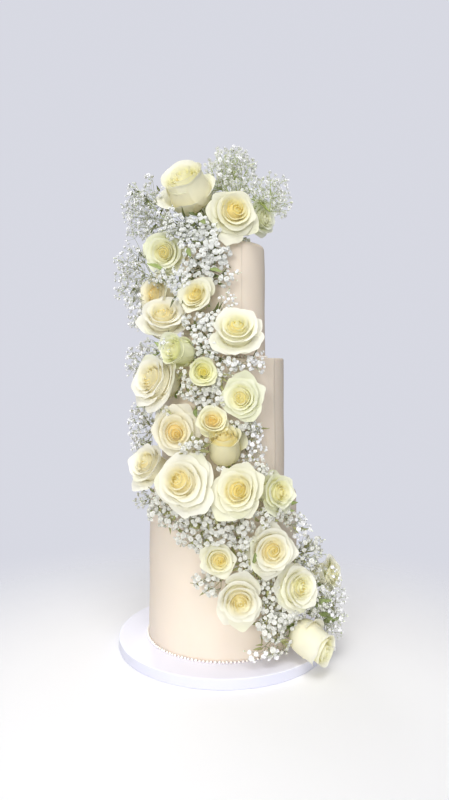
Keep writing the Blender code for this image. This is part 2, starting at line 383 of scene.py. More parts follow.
# ------------------------------------------------------------------ drum, tiers, pearls
def lathe(profile, sides, shift=None):
    """A closed profile from the axis below to the axis above; shift(angle, r, z) moves a point outwards."""
    soup_v, tris, quads, rows = [], [], [], []
    n = 0
    ang = np.arange(sides) * TAU / sides
    for r, z in profile:
        if r < 1e-9:
            soup_v.append([[0, 0, z]])
            rows.append([n])
            n += 1
        else:
            rr = np.full(sides, r) + (shift(ang, r, z) if shift else 0)
            soup_v.append(np.stack([rr * np.cos(ang), rr * np.sin(ang), np.full(sides, z)], 1))
            rows.append(list(range(n, n + sides)))
            n += sides
    for a, b_ in zip(rows, rows[1:]):
        for k in range(sides):
            m = (k + 1) % sides
            if len(a) == 1:
                tris.append((a[0], b_[m], b_[k]))
            elif len(b_) == 1:
                tris.append((a[k], a[m], b_[0]))
            else:
                quads.append((a[k], a[m], b_[m], b_[k]))
    return np.concatenate(soup_v), tris, quads


low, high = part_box("cake_drum")
DRUM_R, DRUM_T = (high[0] - low[0]) / 2, high[2]
e = 0.0011
prof = [(0, 0), (DRUM_R - 2 * e, 0)]
prof += [(DRUM_R - 2 * e + 2 * e * math.sin(a), e - e * math.cos(a)) for a in np.linspace(0.2, math.pi / 2, 5)]
prof += [(DRUM_R, DRUM_T * 0.35), (DRUM_R, DRUM_T * 0.65)]
prof += [(DRUM_R - e + e * math.cos(a), DRUM_T - e + e * math.sin(a)) for a in np.linspace(0, math.pi / 2, 5)]
prof += [(DRUM_R * f, DRUM_T) for f in (0.97, 0.9, 0.7, 0.4)] + [(0, DRUM_T)]


def drum_shift(a, r, z):
    return 0.00012 * np.sin(7 * a + 1) + 0.00008 * np.sin(23 * a) if r > DRUM_R * 0.95 else 0


s = Soup()
v, t, q = lathe(prof, 160, drum_shift)
# painted shade: the drum's side is tinted darker than its top to tone down the strong front light on it; the foil is
# the same all round
s.add(v, t, q, np.where((v[:, 2:3] > DRUM_T - 0.3 * e), (1.0, 1.0, 1.0), (0.78, 0.79, 0.81)))
drum = s.mesh("drum_board", [foil_material()], sharp=50)
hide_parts("cake_drum")
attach(drum, "root")

FONDANT = lin(249, 231, 214) * (0.85, 0.885, 0.89)
TIER = {}
for name, edge, seams in (
    ("tier_bottom", 0.005, (150,)),
    ("tier_middle", 0.002, (53, 236)),
    ("tier_top", 0.006, (25, 205)),
):
    low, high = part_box(name)
    R, z0, z1 = (high[0] - low[0]) / 2, low[2], high[2]
    TIER[name] = (R, z0, z1)
    lean = 0.008 * (z1 - z0)

    def wall_shift(a, r, z, R=R, seams=seams, z0=z0, z1=z1):
        if r < R * 0.8:
            return 0
        out = 0.00022 * np.sin(2 * a + 60 * z) + 0.00016 * np.sin(5 * a - 35 * z + R * 90) + 0.0001 * np.sin(11 * a + 90 * z)
        for sm in seams:
            # the free edge of the wrapped panel: a thin lip on one side, dying away on the other
            d = (a - math.radians(sm - 90) + math.pi) % TAU - math.pi
            out = out + np.where(d > 0, 0, 0.0008 * np.exp(d * R / 0.012)) * (np.abs(d) < 1)
        return out - 0.0004

    prof = [(0, z0), (R * 0.5, z0), (R - 0.0012, z0), (R - 0.0002, z0 + 0.0008)]
    prof += [(R - lean * f, z0 + (z1 - edge - z0) * f) for f in np.linspace(0.03, 0.97, 30)]
    prof += [(R - lean - edge + edge * math.cos(a), z1 - edge + edge * math.sin(a)) for a in np.linspace(0, math.pi / 2, 9)]
    prof += [((R - lean - edge) * f, z1 - 0.0003 * math.sin(f * 3)) for f in (0.93, 0.8, 0.6, 0.4, 0.2)] + [(0, z1 - 0.0002)]
    v, t, q = lathe(prof, 300, wall_shift)
    s = Soup()
    s.add(v, t, q, FONDANT)
    ob = s.mesh("fondant_" + name.split("_")[1], [M_FONDANT])
    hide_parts(name)
    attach(ob, "root")


def ball(n_lon=10, n_lat=6):
    v = [[0, 0, -1]]
    for i in range(1, n_lat):
        la = -math.pi / 2 + math.pi * i / n_lat
        for k in range(n_lon):
            lo = TAU * k / n_lon
            v.append([math.cos(la) * math.cos(lo), math.cos(la) * math.sin(lo), math.sin(la)])
    v.append([0, 0, 1])
    t, q = [], []
    for k in range(n_lon):
        m = (k + 1) % n_lon
        t.append((0, 1 + m, 1 + k))
        t.append((1 + (n_lat - 2) * n_lon + k, 1 + (n_lat - 2) * n_lon + m, len(v) - 1))
        for i in range(n_lat - 2):
            a = 1 + i * n_lon
            q.append((a + k, a + m, a + n_lon + m, a + n_lon + k))
    return np.array(v, float), np.array(t), np.array(q)


BALL = ball()
rng = np.random.default_rng(11)
for name in ("bottom", "middle", "top"):
    R, z0, z1 = TIER["tier_" + name]
    rad = 0.00155
    count = int(TAU * (R + rad) / 0.0044)
    s = Soup()
    for k in range(count):
        a = TAU * (k + rng.uniform(-0.08, 0.08)) / count
        r = rad * rng.uniform(0.86, 1.08)
        c = np.array([(R + r * 0.8) * math.cos(a), (R + r * 0.8) * math.sin(a), z0 + r * 0.86])
        stretch = np.array([1, 1, rng.uniform(0.9, 1.02)])
        s.add(BALL[0] * r * stretch + c, BALL[1], BALL[2], lin(255, 251, 245))
    ob = s.mesh("pearl_row_" + name, [M_PEARL])
    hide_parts("pearls_" + name)
    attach(ob, "root")


# ------------------------------------------------------------------ roses
# colours of each kind of rose: the petals' yellow base between the petals, made more golden as painted glow of light in
# the folds, inside of a petal, rim, back of the outer petals
KINDS = {
    "lemon": ((255, 239, 168), (255, 248, 202), (243, 242, 225), (245, 245, 227)),
    "cream": ((255, 241, 182), (255, 249, 217), (245, 244, 233), (246, 245, 232)),
    "white": ((255, 240, 174), (255, 252, 226), (252, 251, 240), (253, 252, 239)),
    "warm": ((255, 240, 188), (255, 250, 226), (250, 249, 240), (252, 250, 238)),
    "peach": ((255, 233, 166), (255, 247, 208), (245, 242, 226), (246, 243, 224)),
    "ochre": ((252, 222, 136), (254, 240, 188), (246, 242, 220), (245, 241, 214)),
    "pale": ((255, 244, 186), (254, 250, 214), (249, 250, 232), (248, 250, 228)),
    "green": ((254, 243, 184), (252, 249, 216), (245, 246, 227), (242, 244, 220)),
    "sage": ((249, 248, 216), (250, 250, 230), (248, 250, 238), (246, 249, 230)),
    "gold": ((255, 232, 150), (255, 243, 192), (247, 246, 222), (243, 242, 210)),
    "honey": ((255, 240, 178), (255, 247, 208), (247, 246, 222), (243, 242, 212)),
    "lime": ((252, 242, 146), (251, 248, 194), (244, 244, 212), (243, 244, 212)),
    "bud": ((250, 246, 190), (251, 250, 216), (247, 249, 228), (245, 248, 222)),
}

# number, angle, distance, height, width, length (mm), azimuth, elevation, roll, kind, openness, guard petals
ROSES = (
    (1, -64, 46, 545, 70, 58, -24, 40, 0.3, "white", 0.44, 0),
    (2, 12, 48, 513, 60, 46, 12, 6, 1.1, "lemon", 0.72, 2),
    (3, 98, 41, 519, 51, 44, 46, 0, 0.2, "sage", 0.75, 2),
    (4, -72, 72, 472, 52, 44, -8, -4, 2.0, "green", 0.62, 1),
    (5, -24, 72, 413, 44, 38, -17, 12, 0.9, "lemon", 0.60, 0),
    (6, -70, 80, 419, 50, 42, -40, 10, 0.5, "peach", 0.65, 1),
    (7, -56, 82, 388, 58, 48, 0, 38, 1.9, "warm", 0.56, 1),
    (8, -31, 92, 352, 40, 44, -40, 10, 0.1, "bud", 0.30, 0),
    (9, 11, 81, 372, 56, 50, -7, 30, 2.6, "white", 0.56, 1),
    (10, -47, 98, 318, 62, 52, -44, 18, 1.4, "warm", 0.58, 1),
    (11, -14, 97, 330, 35, 30, 10, 6, 0.7, "lime", 0.5, 1),
    (12, 13, 95, 302, 50, 38, -14, 6, 2.2, "green", 0.65, 1),
    (13, -34, 98, 264, 54, 44, 10, 10, 0.4, "peach", 0.70, 1),
    (14, -7, 96, 275, 36, 32, 4, 24, 1.7, "gold", 0.46, 1),
    (15, 1, 95, 247, 46, 50, -4, 50, 0.0, "honey", 0.44, 0),
    (16, -52, 101, 221, 52, 44, -46, 30, 2.9, "warm", 0.58, 1),
    (17, -21, 113, 210, 66, 54, -14, 22, 0.6, "cream", 0.74, 2),
    (18, 8, 112, 204, 56, 46, -10, 16, 1.3, "lemon", 0.70, 1),
    (19, 31, 105, 199, 44, 42, 38, 10, 0.2, "pale", 0.6, 1),
    (20, 27, 111, 138, 55, 50, 6, 10, 2.4, "cream", 0.66, 1),
    (21, -3, 107, 131, 39, 32, 6, 6, 1.0, "lemon", 0.6, 1),
    (22, 8, 115, 93, 50, 48, 8, -6, 0.8, "cream", 0.66, 1),
    (23, 42, 117, 94, 52, 44, 32, 12, 2.0, "white", 0.66, 1),
    (24, 46, 130, 38, 50, 54, 46, -16, 1.6, "white", 0.44, 0),
    (25, 65, 128, 99, 40, 36, 52, 14, 0.9, "white", 0.6, 1),
    (26, 190, 40, 526, 54, 44, 185, 30, 0.5, "cream", 0.7, 2),
)


def petal_grid(na, nt_, p):
    """One petal as a grid: a across (-1..1), t up (0..1). Lengths in half widths of the flower."""
    a = np.linspace(-1, 1, na)[None, :]
    t = np.linspace(0, 1, nt_)[:, None]
    # outline: the rim drops towards the petal's sides and rises to a small point in the middle
    end = 1 - p["drop"] * np.abs(a) ** 2.6 + p["tip"] * np.exp(-((a / 0.20) ** 2))
    u = t * end
    lean, lip, curl, R, H = p["lean"], p["lip"], p["curl"], p["R"], p["H"]
    # the meridian: a cubic from the calyx up the globe, then an arc that opens outwards
    body = p["body"]
    ub = np.clip(u / body, 0, 1)
    p0 = np.array([p["r0"], p["z0"]])
    p3 = np.array([R, H])
    p1 = np.array([R * 1.02 + 0.05 + p.get("belly", 0), p["z0"] + 0.14 + 0.5 * p.get("belly", 0)])
    reach = 0.42 * (H - p["z0"])
    p2 = np.array([R - math.sin(lean) * reach, H - math.cos(lean) * reach])
    w0, w1, w2, w3 = (1 - ub) ** 3, 3 * (1 - ub) ** 2 * ub, 3 * (1 - ub) * ub**2, ub**3
    r = w0 * p0[0] + w1 * p1[0] + w2 * p2[0] + w3 * p3[0]
    z = w0 * p0[1] + w1 * p1[1] + w2 * p2[1] + w3 * p3[1]
    ul = np.clip((u - body) / (1 - body), 0, 1.4)
    k = np.maximum(curl * (0.75 + p["roll"] * np.abs(a) ** 2), 1e-3)
    r = r + lip * (np.cos(lean) - np.cos(lean + k * ul)) / k
    z = z + lip * (np.sin(lean + k * ul) - np.sin(lean)) / k
    # one side tucks in under its neighbour and the other lies over the next
    r = r + p["pitch"] * a * smooth(u, 0.15, 0.8)
    # soft waves and a fold or two
    wave = np.sin(2.3 * a + p["phase"]) + 0.5 * np.sin(5.1 * a + 2.1 * p["phase"])
    r = r + p["ruffle"] * wave * smooth(u, 0.45, 1.0)
    z = z + p["ruffle"] * (0.9 * np.sin(3.7 * a + 1.3 * p["phase"]) + 0.35 * np.sin(8.3 * a + p["phase"])) * smooth(u, 0.6, 1.0)
    wide = p["half"] * (0.34 + 0.66 * smooth(u, 0.0, 0.55)) * (1 - 0.10 * smooth(u, 0.8, 1.0))
    ang = p["theta"] + a * wide
    x = r * np.cos(ang) * p["oval"] + p["shift"][0] * smooth(u, 0.1, 0.7)
    y = r * np.sin(ang) / p["oval"] + p["shift"][1] * smooth(u, 0.1, 0.7)
    return np.stack([x, y, z + 0 * x], -1), u + 0 * a, a + 0 * u


def sheet(soup, P, col, mat=0):
    """A grid of points as one thin sheet."""
    nt_, na = P.shape[:2]
    idx = np.arange(nt_ * na).reshape(nt_, na)
    a, b_, c, d = idx[:-1, :-1].ravel(), idx[:-1, 1:].ravel(), idx[1:, 1:].ravel(), idx[1:, :-1].ravel()
    soup.add(P.reshape(-1, 3), quads=np.stack([a, b_, c, d], 1), colour=col.reshape(-1, 3), mat=mat)


def petal_rows(open_, guards, rnd):
    """The petals from the heart outwards. R, H and lean are where the petal leaves the globe; lip and curl open it."""
    rows = []

    def row(f, R, H, lean, lip, curl, half, step, **more):
        d = dict(f=f, R=R, H=H, lean=lean, lip=lip, curl=curl, half=half, step=step, pitch=0.03, drop=0.16, tip=0.0, roll=0.5, body=0.8)
        d.update(more)
        rows.append(d)

    for i, (R, H, lean, half) in enumerate((
        (0.030, 0.655, -24, 150), (0.062, 0.675, -20, 132), (0.096, 0.680, -15, 120),
        (0.134, 0.670, -10, 110), (0.174, 0.650, -5, 102), (0.214, 0.620, 0, 98), (0.254, 0.580, 4, 94),
    )):
        row(0.045 * i, R, H, lean, 0.06 + 0.014 * i, 30 + 6 * i, half, 148, pitch=0.018 + 0.003 * i)
    cup = 1 - smooth(open_, 0.5, 0.8)

    def rim(open_height, cup_height):
        return open_height * (1 - cup) + cup_height * cup

    for i in range(4):
        row(0.32 + 0.03 * i, 0.290 + 0.018 * i, rim(0.54 - 0.025 * i, 0.58 - 0.008 * i), 6 + 2 * i, 0.17 + 0.02 * i, 44 + 4 * i, 88 - 3 * i, 112, pitch=0.028, body=0.78, tip=0.02)
    if open_ > 0.25:
        for i in range(5):
            row(0.47 + 0.05 * i, 0.370 + 0.026 * i, rim(0.44 - 0.035 * i, 0.565 - 0.015 * i), 10 + 3 * i, 0.27 + 0.02 * i, 58 + 4 * i, 78 - 3 * i, 92, pitch=0.03, body=0.70, tip=0.04, drop=0.17, roll=0.55)
    if open_ > 0.45:
        for i in range(5):
            row(0.80 + 0.04 * i, 0.52 + 0.022 * i, rim(0.25 - 0.04 * i, 0.50 - 0.025 * i), 16 + 3 * i, 0.40, 66 + 5 * i, 66 - 2 * i, 76, pitch=0.03, body=0.62, tip=0.10, drop=0.22, roll=0.7)
    for i in range(guards):
        row(1.0, 0.61 + 0.01 * i, rim(0.04, 0.10) - 0.05 * i, 34 + 6 * i, 0.44, 70, 52, 118 + 9 * i, pitch=0.02, body=0.58, tip=0.14, drop=0.26, roll=0.8)
    n_bud = 7
    for d in rows[n_bud:]:
        d["lip"] *= 0.22 + 0.80 * open_
    far = max(d["R"] + d["lip"] * 0.80 for d in rows)
    drift = rnd.normal(0, 0.045, 2)
    for i, d in enumerate(rows):
        g = 0.35 if i < n_bud else 1.0
        d["R"] = d["R"] * 0.97 / far + rnd.normal(0, 0.012) * g
        d["lip"] *= rnd.uniform(0.85, 1.12) * 0.97 / far
        if i >= n_bud:
            d["lean"] *= 0.5 + 0.8 * open_
            d["curl"] *= 0.55 + 0.65 * open_
        d["H"] += rnd.normal(0, 0.022) * g
        d["lean"] = math.radians(d["lean"] + rnd.normal(0, 4) * g)
        d["curl"] = math.radians(d["curl"] * rnd.uniform(0.75, 1.22))
        d["half"] = math.radians(d["half"] * rnd.uniform(0.93, 1.07))
        d["step"] = math.radians(d["step"] + rnd.normal(0, 9))
        d["tip"] *= rnd.uniform(0.2, 1.5)
        d["drop"] *= rnd.uniform(0.7, 1.3)
        d["phase"] = rnd.uniform(0, 6)
        d["ruffle"] = 0.003 + 0.024 * d["f"] + rnd.uniform(0, 0.006)
        d["r0"], d["z0"] = 0.09 + 0.05 * d["f"], -0.74 + 0.05 * d["f"]
        d["shift"] = drift * (1 - smooth(d["f"], 0.0, 0.9)) * (1.6 if d["f"] < 0.3 else 1)
        d["belly"] = 0.16 * cup * smooth(d["f"], 0.3, 0.6) if open_ > 0.25 else 0
        if 0.42 < open_ < 0.46:
            # a globe: its petals wrap round the heart and turn in
            d["belly"] = 0.34 * smooth(d["f"], 0.25, 0.5)
            if i >= n_bud:
                d["lean"] -= 0.24
                d["R"] *= 0.97
                d["lip"] *= 0.85
        if open_ < 0.25:
            # a bud: full low down and drawn in to its mouth
            d["belly"] = 0.55 * smooth(d["f"], 0.0, 0.35)
            d["R"] *= 0.68
            d["H"] += 0.04
            d["lip"] *= 0.75
    # one petal of each turn stands away and leaves a deep crescent
    for lo, hi, gape in ((7, 11, 0.025), (11, 16, 0.035)):
        if hi <= len(rows):
            k = rnd.integers(lo, hi)
            rows[k]["R"] += gape
            rows[k]["lean"] += 0.15
    return rows, far


# petals that reach out of a head: where they point seen from the front (degrees from the right), how far in half
# widths, how broad in degrees, how far they bend back
REACHING = {
    1: ((-168, 1.18, 46, 20), (-105, 1.02, 56, 5), (15, 1.00, 50, 10), (50, 0.98, 44, 5)),
    2: ((-103, 1.42, 36, 15), (-36, 1.14, 44, 25)),
    4: ((160, 1.10, 46, 30), (-75, 1.12, 44, 10)),
    5: ((50, 1.22, 46, 10), (140, 1.08, 42, 20)),
    6: ((100, 1.15, 50, 10), (200, 1.05, 50, 20)),
    7: ((-70, 1.10, 50, 10), (-160, 1.12, 46, 20), (-20, 1.0, 46, 20)),
    9: ((-130, 1.28, 46, 10), (-50, 1.26, 46, 15), (-90, 1.22, 44, 10), (30, 1.06, 40, 25)),
    10: ((-12, 1.32, 50, 5), (-55, 1.36, 48, 5), (70, 1.08, 44, 20)),
    12: ((80, 1.16, 48, 15), (-60, 1.10, 50, 15)),
    13: ((60, 1.20, 48, 15), (10, 1.18, 44, 15), (-60, 1.12, 44, 20), (110, 1.10, 44, 10)),
    14: ((-110, 1.05, 50, 10),),
    16: ((200, 1.04, 46, 30), (-95, 1.28, 50, 10), (-60, 1.24, 46, 10)),
    17: ((-50, 1.28, 40, 10), (62, 1.12, 44, 20)),
    18: ((-122, 1.30, 44, 10), (70, 1.10, 46, 20), (-60, 1.08, 44, 20), (178, 1.15, 44, 10)),
    19: ((-110, 1.22, 50, 10), (-55, 1.20, 46, 10), (100, 1.12, 44, 15)),
    20: ((95, 1.16, 40, 10), (-100, 1.10, 46, 15), (175, 1.04, 46, 15)),
    21: ((150, 1.08, 44, 20), (-80, 1.06, 46, 15)),
    22: ((80, 1.36, 48, 5), (50, 1.16, 44, 10), (-85, 1.30, 54, 5), (-125, 1.22, 48, 5), (-45, 1.14, 46, 10)),
    23: ((172, 1.42, 44, 5), (148, 1.34, 44, 5), (-160, 1.22, 44, 10), (-115, 1.16, 44, 15), (100, 1.10, 44, 10)),
    24: ((-40, 1.0, 60, 0), (60, 1.0, 56, 5)),
    8: ((-100, 0.98, 60, 0), (100, 0.92, 60, 0)),
    15: ((58, 1.22, 50, 0),),
}


def rose(number, centre, width, length, axis, roll, kind, open_, guards):
    rnd = np.random.default_rng(100 + number)
    half = width * MM / 2
    tall = length / (0.83 * width)
    B = basis(axis, roll)
    base_yellow_and_fold_glow, body, rim, back = (lin(*c) for c in KINDS[kind])
    s = Soup()
    theta = rnd.uniform(0, TAU)
    oval = rnd.uniform(0.95, 1.05)
    rows, far_ = petal_rows(open_, guards, rnd)
    for seen, out, broad, bent in REACHING.get(number, ()):
        d = np.array([math.cos(math.radians(seen)), 0, math.sin(math.radians(seen))])
        R = 0.56 * 0.97 / far_
        rows.append(dict(
            f=1.0, R=R, H=0.02 + rnd.uniform(-0.04, 0.04), lean=math.radians(52), lip=out - R, curl=math.radians(bent + 12), half=math.radians(broad),
            step=0, toward=math.atan2(d @ B[:, 1], d @ B[:, 0]), pitch=0.02, drop=0.24, tip=0.08, roll=1.0, body=0.5, phase=rnd.uniform(0, 6),
            ruffle=0.03, r0=0.14, z0=-0.70, shift=np.zeros(2),
        ))
    for n, p in enumerate(rows):
        theta = p.get("toward", theta + p["step"])
        f = p["f"]
        p["theta"], p["oval"] = theta, 1 + (oval - 1) * (1.6 - f)
        na, nt_ = (17, 7) if n < 7 else (15, 9) if f < 0.75 else (21, 9)
        P, u, a = petal_grid(na, nt_, p)
        P[..., 2] *= tall
        W = P * half @ B.T + centre
        # inside: the yellow base low down, golden as painted glow of light in the folds, pale above. outside: ivory,
        # greener near the calyx
        b0 = p["body"]
        up = smooth(u, b0 * 0.72, b0 * 1.05)[..., None]
        pale_ = 0.85 * smooth(f, 0.2, 0.75)
        deep = base_yellow_and_fold_glow * (1 - pale_) + (0.6 * body + 0.4 * rim) * pale_
        if n < 7:
            deep = 0.45 * deep + 0.55 * body
        mid = body * (1 - 0.7 * smooth(f, 0.25, 0.85)) + rim * (0.7 * smooth(f, 0.25, 0.85))
        col_in = deep * (1 - up) + mid * up
        far = smooth(u, b0, 1.0)[..., None] * (0.25 + 0.75 * smooth(f, 0.1, 0.7))
        col_in = col_in * (1 - far) + rim * far
        green = lin(228, 234, 176)
        lowg = (1 - smooth(u, 0.10, 0.5))[..., None] * (0.2 + 0.5 * smooth(f, 0.5, 1.0))
        col_out = body * (1 - smooth(f, 0.15, 0.6)) + back * smooth(f, 0.15, 0.6)
        col_out = col_out * (1 - lowg) + green * lowg
        ro = smooth(u, 0.5, 1.0)[..., None] * (0.3 + 0.7 * smooth(f, 0.1, 0.7))
        col_out = col_out * (1 - ro) + rim * ro
        if f > 0.85 and rnd.random() < (0.7 if kind == "green" else 0.3):
            # the outermost petals carry some green at their tips
            g = (smooth(u, 0.7, 1.0) * np.exp(-((a / 0.5) ** 2)))[..., None] * 0.35
            col_out = col_out * (1 - g) + lin(236, 240, 188) * g
            col_in = col_in * (1 - g) + lin(238, 241, 194) * g
        inner = 0.6 - 0.25 * smooth(f, 0.5, 0.9)
        sheet(s, W, np.clip(col_in * inner + col_out * (1 - inner), 0, 0.98), mat=2 if f > 0.42 else 0)
    # the feet of the petals close the bottom of every fold
    shape = [(0.0, 0.60), (0.10, 0.60)]
    for p in rows[4:]:
        if p["f"] < 0.99:
            shape.append((p["R"] * 0.93, p["H"] - 0.05 - 0.10 * p["f"]))
    shape = np.array(sorted(shape))
    shape[:, 1] = np.minimum.accumulate(shape[:, 1])
    fa = np.linspace(0, TAU, 25)[:, None]
    fr, fz = shape[None, :, 0] * (1 + 0.03 * np.sin(3 * fa + number)), shape[None, :, 1] * tall
    F = np.stack([fr * np.cos(fa), fr * np.sin(fa), fz + 0 * fr], -1).transpose(1, 0, 2)
    fw = smooth(shape[:, 0], 0.15, 0.45)[:, None]
    # the feet take the petals' yellow base in the middle, with its painted golden glow of light
    fcol = (base_yellow_and_fold_glow * (1 - fw) + (0.6 * body + 0.4 * rim) * fw)[:, None, :] * np.ones((1, 25, 1))
    sheet(s, F * half @ B.T + centre, np.clip(fcol, 0, 0.98))
    # calyx: a rounded hip, five sepals and a stub of stem
    hip_v, hip_t, hip_q = lathe([(0, -1.02), (0.05, -1.0), (0.06, -0.95), (0.15, -0.86), (0.19, -0.76), (0.16, -0.66), (0, -0.62)], 12)
    hip_v[:, 2] *= tall
    s.add(hip_v * half @ B.T + centre, hip_t, hip_q, lin(160, 180, 104), mat=1)
    for k in range(5):
        th = TAU * k / 5 + rnd.normal(0, 0.15)
        t = np.linspace(0, 1, 7)[:, None]
        a = np.linspace(-1, 1, 5)[None, :]
        back_ = rnd.uniform(0.2, 1.0)
        r = 0.14 + 0.34 * t + 0.05 * np.sin(t * 3)
        z = -0.80 + 0.30 * t - 0.42 * back_ * t**2 + 0.03 * a**2
        w = 0.10 * (1 - t) ** 0.7 * (0.5 + t) + 0.004
        x = r * math.cos(th) - w * a * math.sin(th)
        y = r * math.sin(th) + w * a * math.cos(th)
        P = np.stack([x, y, (z + 0 * x) * tall], -1)
        c = lin(164, 186, 112) * (1 - 0.2 * t[..., None] * np.ones((7, 5, 1)))
        sheet(s, P * half @ B.T + centre, c, mat=1)
    ob = s.mesh(f"rose_head_{number:02d}", [M_PETAL, M_GREEN, M_OUTER])
    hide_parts(f"rose_{number:02d}")
    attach(ob, "root")
    return ob


HEADS = []
for number, angle, distance, height, width, length, az, el, roll, kind, open_, guards in ROSES:
    c = at(angle, distance, height)
    rose(number, c, width, length, looking(az, el), roll, kind, open_, guards)
    HEADS.append((c, width * MM / 2, looking(az, el)))


# ------------------------------------------------------------------ gypsophila
def floret_proto(seed, whorls, centre=0.30):
    """A double floret: whorls of broad petals that overlap into a pompon round a low dome, radius 1."""
    rnd = np.random.default_rng(seed)
    V, T = [], []
    n0 = 0
    for count, tilt, length, broad, lift in whorls:
        turn = rnd.uniform(0, TAU)
        for k in range(count):
            th = turn + TAU * (k + rnd.uniform(-0.15, 0.15)) / count
            el = math.radians(tilt + rnd.uniform(-8, 8))
            L, w = length * rnd.uniform(0.88, 1.08), broad * rnd.uniform(0.9, 1.12)
            curve = rnd.uniform(0.10, 0.30)
            pts = np.array([
                [0.10, 0, 0], [0.50 * L, -w * 0.46, 0], [0.88 * L, -w * 0.44, 0], [L, 0, 0],
                [0.88 * L, w * 0.44, 0], [0.50 * L, w * 0.46, 0], [0.62 * L, 0, 0.04],
            ])
            # cup the petal across and bend its end back, then tilt it up and turn it round the floret
            pts[:, 2] += 0.35 * pts[:, 1] ** 2 / max(w, 0.1) - curve * np.clip(pts[:, 0] / L - 0.5, 0, 1) ** 2 * 2.0
            x = pts[:, 0] * math.cos(el) - pts[:, 2] * math.sin(el)
            z = pts[:, 0] * math.sin(el) + pts[:, 2] * math.cos(el) + lift
            y = pts[:, 1]
            V.append(np.stack([x * math.cos(th) - y * math.sin(th), x * math.sin(th) + y * math.cos(th), z], 1))
            for i in range(6):
                j = (i + 1) % 6
                T += [(n0 + i, n0 + j, n0 + 6)]
            n0 += 7
    # a low dome fills the middle, so that the whorls close into one white head
    dome = [[math.cos(TAU * k / 7) * 0.50, math.sin(TAU * k / 7) * 0.50, 0.16] for k in range(7)]
    dome += [[math.cos(TAU * k / 7 + 0.4) * 0.33, math.sin(TAU * k / 7 + 0.4) * 0.33, 0.46] for k in range(7)] + [[0, 0, 0.60]]
    V.append(np.array(dome) * np.array([centre / 0.3, centre / 0.3, 1.0]))
    for k in range(7):
        m = (k + 1) % 7
        T += [(n0 + k, n0 + m, n0 + 7 + k), (n0 + m, n0 + 7 + m, n0 + 7 + k), (n0 + 7 + k, n0 + 7 + m, n0 + 14)]
    n0 += 15
    V = np.concatenate(V)
    # calyx: a small cone under the petals
    cone = [[0.16 * math.cos(TAU * k / 5), 0.16 * math.sin(TAU * k / 5), 0.02] for k in range(5)] + [[0, 0, -0.62], [0, 0, 0.06]]
    CT = []
    for k in range(5):
        m = (k + 1) % 5
        CT += [(n0 + m, n0 + k, n0 + 5), (n0 + k, n0 + m, n0 + 6)]
    V = np.concatenate([V, np.array(cone)])
    return V, np.array(T), np.array(CT)


OPEN = [
    floret_proto(1, [(6, 2, 0.98, 0.98, 0.0), (5, 34, 0.86, 0.86, 0.10), (3, 62, 0.70, 0.72, 0.20)]),
    floret_proto(2, [(5, 10, 1.0, 1.10, 0.0), (5, 42, 0.86, 0.84, 0.12), (3, 70, 0.70, 0.66, 0.20)]),
    floret_proto(3, [(6, -8, 0.95, 0.95, 0.0), (5, 26, 0.90, 0.90, 0.10), (3, 56, 0.74, 0.70, 0.22)]),
    floret_proto(4, [(6, 18, 0.98, 0.92, 0.0), (4, 50, 0.84, 0.90, 0.12), (3, 76, 0.70, 0.62, 0.20)]),
]
BUD_V, BUD_T, BUD_Q = ball(6, 4)


def tubes(soup, p0, p1, p2, r0, r1, sides, steps, colour, mat):
    """Many tapering bent tubes at once, from p0 by way of p1 to p2."""
    n = len(p0)
    t = np.linspace(0, 1, steps)[None, :, None]
    C = (1 - t) ** 2 * p0[:, None] + 2 * (1 - t) * t * p1[:, None] + t**2 * p2[:, None]
    D = unit(np.gradient(C, axis=1))
    ref = np.where(np.abs(D[..., 2:3]) < 0.9, np.array([0, 0, 1.0]), np.array([1.0, 0, 0]))
    X = unit(np.cross(ref, D))
    Y = np.cross(D, X)
    rad = (r0[:, None] * (1 - t[..., 0]) + r1[:, None] * t[..., 0])[..., None, None]
    k = np.arange(sides) * TAU / sides
    ring = C[:, :, None] + rad * (X[:, :, None] * np.cos(k)[None, None, :, None] + Y[:, :, None] * np.sin(k)[None, None, :, None])
    V = ring.reshape(n, -1, 3)
    per = steps * sides
    quads = []
    for i in range(steps - 1):
        for j in range(sides):
            m = (j + 1) % sides
            quads.append((i * sides + j, i * sides + m, (i + 1) * sides + m, (i + 1) * sides + j))
    caps = []
    for j in range(1, sides - 1):
        caps.append((0, j + 1, j))
        b0 = (steps - 1) * sides
        caps.append((b0, b0 + j, b0 + j + 1))
    base = (np.arange(n) * per)[:, None, None]
    col = np.repeat(np.asarray(colour).reshape(-1, 3) if np.ndim(colour) == 2 else np.broadcast_to(colour, (n, 3)), per, axis=0)
    soup.add(V.reshape(-1, 3), tris=(np.array(caps)[None] + base).reshape(-1, 3), quads=(np.array(quads)[None] + base).reshape(-1, 4), colour=col, mat=mat)


def clear(p, margin=0.0):
    """True for points outside the tiers, the drum and the rose heads."""
    r = np.hypot(p[:, 0], p[:, 1])
    ok = np.ones(len(p), bool)
    for R, z0, z1 in TIER.values():
        ok &= ~((r < R + 0.003 + margin) & (p[:, 2] < z1 + 0.003 + margin) & (p[:, 2] > z0 - 0.003))
    ok &= ~((r < DRUM_R + 0.002) & (p[:, 2] < DRUM_T + 0.004))
    ok &= p[:, 2] > 0.006
    for c, half, ax in HEADS:
        d = p - c
        along = d @ ax
        across = np.linalg.norm(d - along[:, None] * ax, axis=1)
        ok &= ~(((across / (half * 0.98 + 0.001)) ** 2 + (along / (half * 0.66)) ** 2) < 1)
    return ok


def groups(points, k, rnd):
    """k-means of the points, as an index per point and the centres."""
    k = max(1, min(k, len(points)))
    c = points[rnd.choice(len(points), k, replace=False)]
    for _ in range(6):
        lab = np.argmin(((points[:, None] - c[None]) ** 2).sum(-1), axis=1)
        for i in range(k):
            m = lab == i
            if m.any():
                c[i] = points[m].mean(0)
    return lab, c


